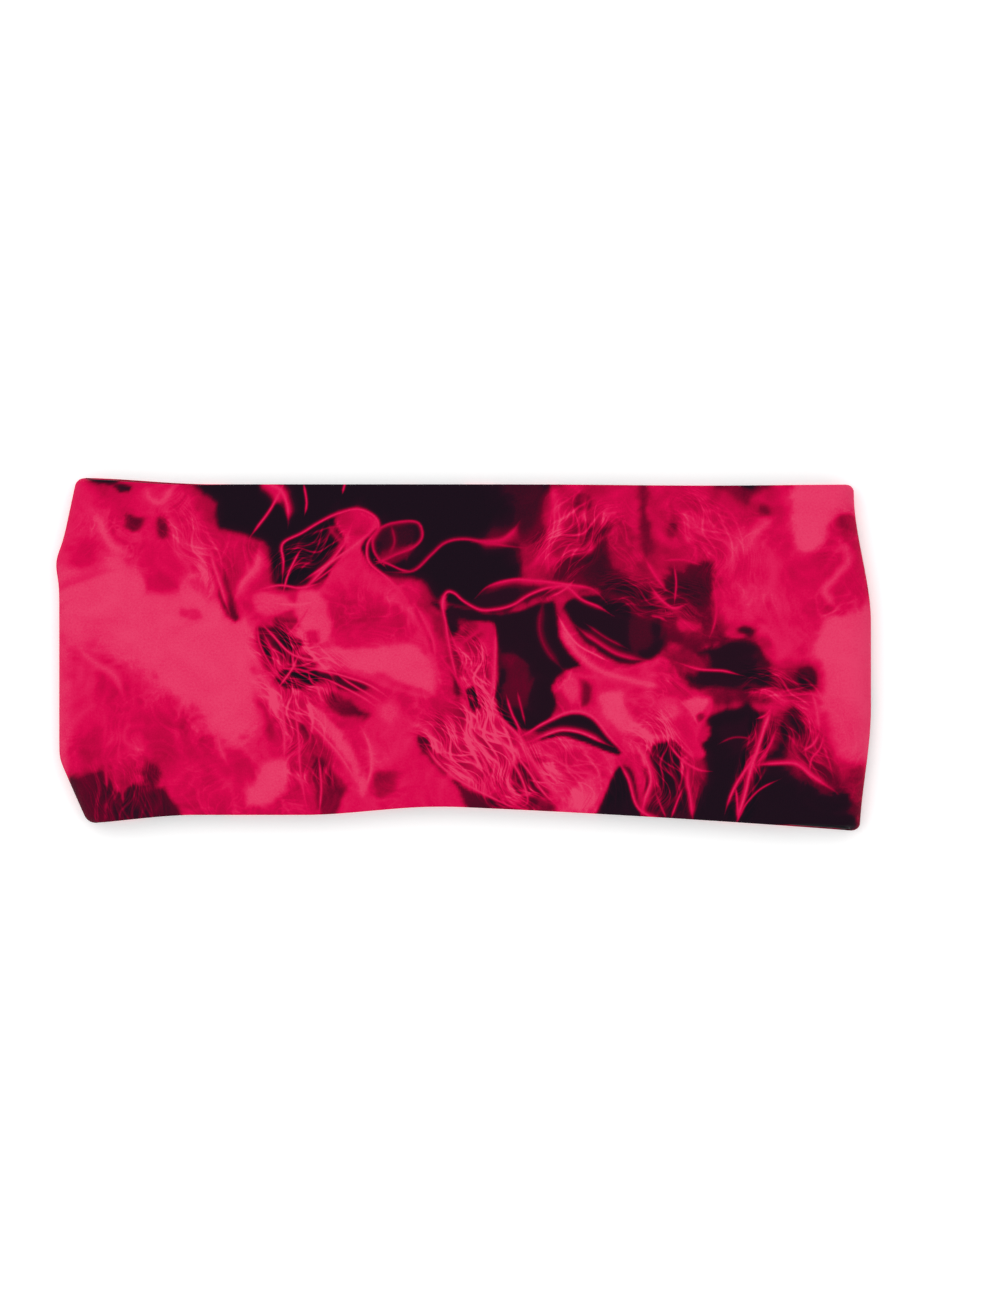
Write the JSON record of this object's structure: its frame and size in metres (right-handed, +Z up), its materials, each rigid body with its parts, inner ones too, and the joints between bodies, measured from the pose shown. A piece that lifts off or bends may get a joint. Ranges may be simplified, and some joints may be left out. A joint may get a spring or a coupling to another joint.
{
  "type": "sports headband",
  "caption": "Wide double-layer stretch headband for racket sports, a closed loop of printed knit with a dark lining, lying flat and slightly open.",
  "frame": {"origin": "under the middle of the band, on the surface that it lies on", "axes": "+X along the flattened band from end fold to end fold, +Y across it towards its top edge, +Z up out of the printed front"},
  "size_m": [0.2286, 0.098, 0.0114],
  "materials": {
    "printed_knit": "smooth matte brushed stretch knit, smoke print from near-black through crimson to light pink",
    "lining_knit": "matte near-black stretch knit",
    "clear_tape": "frosted clear elastic tape",
    "dark_thread": "slightly glossy textured polyester thread",
    "label_satin": "plain woven satin label, blank"
  },
  "bodies": {
    "root": {"outer_panel": "printed_knit", "inner_panel": "lining_knit", "top_edge_elastic": "clear_tape", "bottom_edge_elastic": "clear_tape", "top_edge_seam": "dark_thread", "bottom_edge_seam": "dark_thread", "turning_gap_stitch": "dark_thread", "outer_back_seam": "dark_thread", "inner_back_seam": "dark_thread", "care_label": "label_satin", "care_label_stitch": "dark_thread"}
  },
  "joints": []
}
